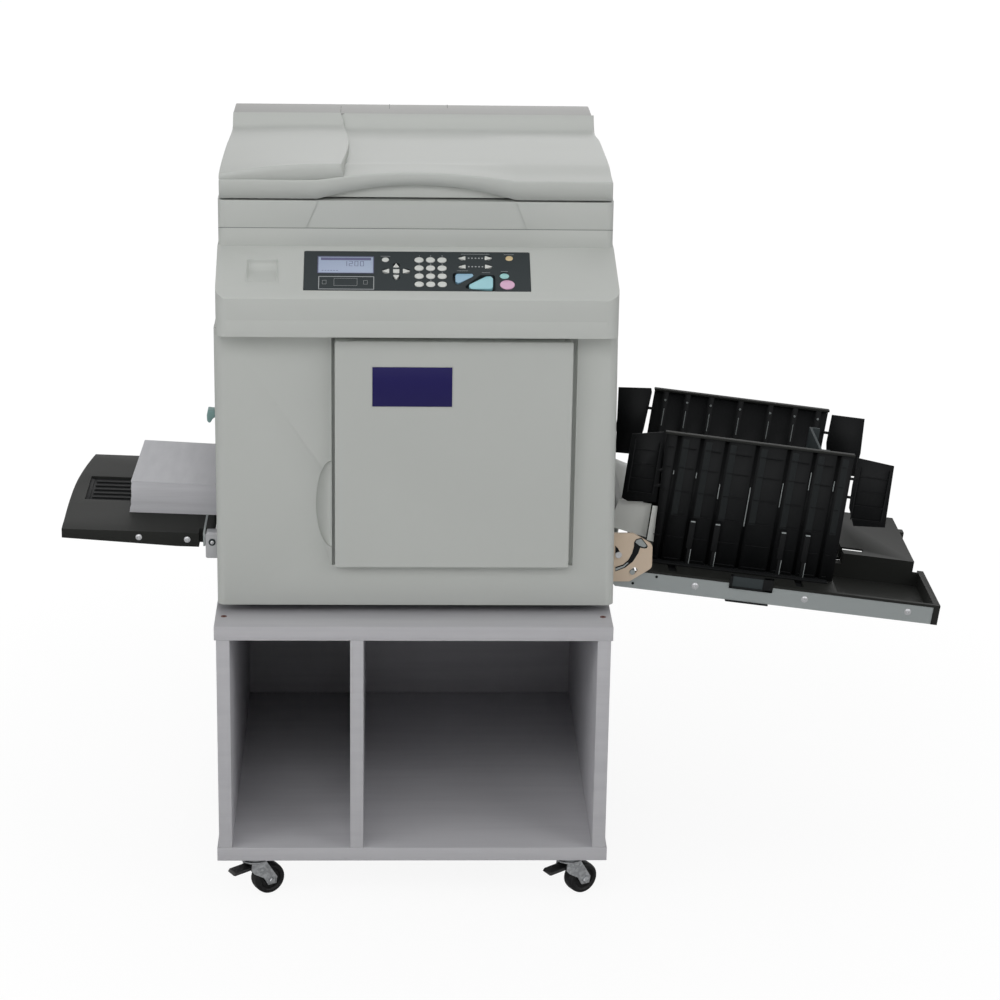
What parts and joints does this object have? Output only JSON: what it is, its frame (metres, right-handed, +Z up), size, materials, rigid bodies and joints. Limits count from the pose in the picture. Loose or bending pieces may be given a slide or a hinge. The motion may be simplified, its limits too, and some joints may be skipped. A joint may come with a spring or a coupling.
{
  "type": "digital duplicator",
  "caption": "Floor-standing stencil duplicator with flatbed scanner lid, sloping control panel, front door, paper feed tray, delivery tray with fences, on an open stand with castors.",
  "frame": {"origin": "floor level at the middle of the whole footprint, both trays included", "axes": "+Z up, +X from the feed tray to the delivery tray, +Y from the front door to the back"},
  "size_m": [1.3562, 0.6564, 1.132],
  "materials": {
    "stand_board": "satin",
    "screw_brown": "satin",
    "zinc": "satin",
    "wheel_black": "satin",
    "pedal_black": "satin",
    "casing_grey": "matte",
    "casing_light": "matte",
    "foot_rubber": "matte",
    "frame_steel": "satin",
    "panel_black": "satin",
    "display": "gloss",
    "key_white": "satin",
    "key_blue": "gloss",
    "key_cyan": "gloss",
    "key_pink": "gloss",
    "key_teal": "gloss",
    "key_orange": "gloss",
    "pin_steel": "satin",
    "glass_clear": "gloss",
    "pad_white": "matte",
    "carriage_black": "matte",
    "drum_steel": "satin",
    "roller_rubber": "matte",
    "tray_black": "satin",
    "table_steel": "satin",
    "paper_white": "matte",
    "lever_teal": "satin",
    "bracket_cream": "satin",
    "rail_grey": "satin"
  },
  "bodies": {
    "cabinet": {"stand_top": "stand_board", "stand_bottom": "stand_board", "stand_left_side": "stand_board", "stand_right_side": "stand_board", "stand_divider": "stand_board", "stand_back": "stand_board", "stand_screws": "screw_brown", "castor_plates": "zinc", "base_pan": "frame_steel", "machine_feet": "foot_rubber", "machine_frame": "frame_steel", "front_cover": "casing_grey", "left_cover": "casing_grey", "right_cover": "casing_grey", "rear_cover": "casing_grey", "power_inlet": "panel_black", "panel_skirt": "casing_light", "upper_housing": "casing_light", "control_panel": "panel_black", "display_window": "display", "hinge_pins": "pin_steel", "scanner_base": "casing_light", "scanner_frame": "casing_light", "platen_glass": "glass_clear", "tray_brackets": "bracket_cream"},
    "front_door": {"front_door": "casing_grey"},
    "lid": {"lid_cover": "casing_light", "lid_side_cover": "casing_light", "lid_rear_cover": "casing_light", "lid_pad": "pad_white"},
    "scan_carriage": {"scan_carriage": "carriage_black"},
    "feed_table": {"feed_table": "table_steel", "paper_stack": "paper_white"},
    "feed_tray": {"feed_tray": "tray_black"},
    "release_lever": {"release_lever": "lever_teal"},
    "feed_roller": {"feed_roller": "roller_rubber"},
    "print_drum": {"print_drum": "drum_steel"},
    "press_roller": {"press_roller": "roller_rubber"},
    "delivery_tray": {"tray_frame": "rail_grey", "tray_bed": "tray_black"},
    "near_fence": {"near_fence": "tray_black"},
    "far_fence": {"far_fence": "tray_black"},
    "end_stop": {"end_stop": "tray_black"},
    "number_keys": {"number_keys": "key_white"},
    "arrow_keys": {"arrow_keys": "key_white"},
    "master_key": {"master_key": "key_blue"},
    "print_key": {"print_key": "key_cyan"},
    "stop_key": {"stop_key": "key_pink"},
    "test_key": {"test_key": "key_teal"},
    "wake_key": {"wake_key": "key_orange"},
    "fork_front_left": {"castor_fork_front_left": "zinc"},
    "wheel_front_left": {"castor_wheel_front_left": "wheel_black"},
    "pedal_left": {"brake_pedal_left": "pedal_black"},
    "fork_front_right": {"castor_fork_front_right": "zinc"},
    "wheel_front_right": {"castor_wheel_front_right": "wheel_black"},
    "pedal_right": {"brake_pedal_right": "pedal_black"},
    "fork_rear_left": {"castor_fork_rear_left": "zinc"},
    "wheel_rear_left": {"castor_wheel_rear_left": "wheel_black"},
    "fork_rear_right": {"castor_fork_rear_right": "zinc"},
    "wheel_rear_right": {"castor_wheel_rear_right": "wheel_black"}
  },
  "joints": [
    {"name": "castor_swivel_front_left", "type": "hinge", "parent": "cabinet", "child": "fork_front_left", "pos_m": [-0.38211, -0.29625, 0.0637], "axis": [0, 0, 1], "continuous": true},
    {"name": "castor_wheel_front_left", "type": "hinge", "parent": "fork_front_left", "child": "wheel_front_left", "pos_m": [-0.36306, -0.28525, 0.025], "axis": [-0.5, 0.866, 0], "continuous": true},
    {"name": "brake_pedal_left", "type": "hinge", "parent": "fork_front_left", "child": "pedal_left", "pos_m": [-0.38471, -0.29775, 0.048], "axis": [0.5, -0.866, 0], "range_deg": [0, 14]},
    {"name": "castor_swivel_front_right", "type": "hinge", "parent": "cabinet", "child": "fork_front_right", "pos_m": [0.10589, -0.29625, 0.0637], "axis": [0, 0, 1], "continuous": true},
    {"name": "castor_wheel_front_right", "type": "hinge", "parent": "fork_front_right", "child": "wheel_front_right", "pos_m": [0.12494, -0.28525, 0.025], "axis": [-0.5, 0.866, 0], "continuous": true},
    {"name": "brake_pedal_right", "type": "hinge", "parent": "fork_front_right", "child": "pedal_right", "pos_m": [0.10329, -0.29775, 0.048], "axis": [0.5, -0.866, 0], "range_deg": [0, 14]},
    {"name": "castor_swivel_rear_left", "type": "hinge", "parent": "cabinet", "child": "fork_rear_left", "pos_m": [-0.38211, 0.27975, 0.0637], "axis": [0, 0, 1], "continuous": true},
    {"name": "castor_wheel_rear_left", "type": "hinge", "parent": "fork_rear_left", "child": "wheel_rear_left", "pos_m": [-0.36119, 0.27295, 0.025], "axis": [0.309, 0.9511, 0], "continuous": true},
    {"name": "castor_swivel_rear_right", "type": "hinge", "parent": "cabinet", "child": "fork_rear_right", "pos_m": [0.10589, 0.27975, 0.0637], "axis": [0, 0, 1], "continuous": true},
    {"name": "castor_wheel_rear_right", "type": "hinge", "parent": "fork_rear_right", "child": "wheel_rear_right", "pos_m": [0.11943, 0.29709, 0.025], "axis": [-0.788, 0.6157, 0], "continuous": true},
    {"name": "number_keys_press", "type": "slide", "parent": "cabinet", "child": "number_keys", "axis": [0, -0.4992, 0.8665], "range_m": [-0.0012, 0], "stiffness_N_per_m": 1500},
    {"name": "arrow_keys_press", "type": "slide", "parent": "cabinet", "child": "arrow_keys", "axis": [0, -0.4992, 0.8665], "range_m": [-0.0012, 0], "stiffness_N_per_m": 1500},
    {"name": "master_key_press", "type": "slide", "parent": "cabinet", "child": "master_key", "axis": [0, -0.4992, 0.8665], "range_m": [-0.0012, 0], "stiffness_N_per_m": 400},
    {"name": "print_key_press", "type": "slide", "parent": "cabinet", "child": "print_key", "axis": [0, -0.4992, 0.8665], "range_m": [-0.0012, 0], "stiffness_N_per_m": 400},
    {"name": "stop_key_press", "type": "slide", "parent": "cabinet", "child": "stop_key", "axis": [0, -0.4992, 0.8665], "range_m": [-0.0012, 0], "stiffness_N_per_m": 400},
    {"name": "test_key_press", "type": "slide", "parent": "cabinet", "child": "test_key", "axis": [0, -0.4992, 0.8665], "range_m": [-0.0012, 0], "stiffness_N_per_m": 400},
    {"name": "wake_key_press", "type": "slide", "parent": "cabinet", "child": "wake_key", "axis": [0, -0.4992, 0.8665], "range_m": [-0.0012, 0], "stiffness_N_per_m": 400},
    {"name": "door_hinge", "type": "hinge", "parent": "cabinet", "child": "front_door", "pos_m": [0.08689, -0.28325, 0.539], "axis": [0, 0, 1], "range_deg": [0, 90]},
    {"name": "lid_hinge", "type": "hinge", "parent": "cabinet", "child": "lid", "pos_m": [-0.13811, 0.32175, 1.094], "axis": [-1, 0, 0], "range_deg": [0, 70]},
    {"name": "carriage_travel", "type": "slide", "parent": "cabinet", "child": "scan_carriage", "axis": [1, 0, 0], "range_m": [0, 0.38]},
    {"name": "feed_table_lift", "type": "slide", "parent": "cabinet", "child": "feed_table", "axis": [0, 0, 1], "range_m": [-0.04, 0]},
    {"name": "feed_tray_fold", "type": "hinge", "parent": "feed_table", "child": "feed_tray", "pos_m": [-0.45111, -0.04525, 0.566], "axis": [0, 1, 0], "range_deg": [0, 85], "deforming": ["paper_stack"]},
    {"name": "release_lever_turn", "type": "hinge", "parent": "cabinet", "child": "release_lever", "pos_m": [-0.43511, -0.20025, 0.752], "axis": [1, 0, 0], "range_deg": [-20, 20]},
    {"name": "feed_roller_spin", "type": "hinge", "parent": "cabinet", "child": "feed_roller", "pos_m": [-0.39611, -0.04525, 0.6526], "axis": [0, 1, 0], "continuous": true},
    {"name": "drum_spin", "type": "hinge", "parent": "cabinet", "child": "print_drum", "pos_m": [-0.08211, -0.23225, 0.748], "axis": [0, 1, 0], "continuous": true},
    {"name": "press_roller_spin", "type": "hinge", "parent": "cabinet", "child": "press_roller", "pos_m": [-0.08211, -0.23225, 0.6327], "axis": [0, 1, 0], "continuous": true},
    {"name": "delivery_tray_level", "type": "hinge", "parent": "cabinet", "child": "delivery_tray", "pos_m": [0.17489, -0.21325, 0.536], "axis": [0, -1, 0], "range_deg": [0, 7.2]},
    {"name": "near_fence_slide", "type": "slide", "parent": "delivery_tray", "child": "near_fence", "axis": [0, 1, 0], "range_m": [-0.03, 0.045]},
    {"name": "far_fence_slide", "type": "slide", "parent": "delivery_tray", "child": "far_fence", "axis": [0, 1, 0], "range_m": [-0.045, 0.03]},
    {"name": "end_stop_slide", "type": "slide", "parent": "delivery_tray", "child": "end_stop", "axis": [0.9921, 0, -0.1253], "range_m": [-0.12, 0.095]}
  ],
  "couplings": [
    {"joint": "press_roller_spin", "follows": "drum_spin", "ratio": -3.6},
    {"joint": "far_fence_slide", "follows": "near_fence_slide", "ratio": -1}
  ]
}
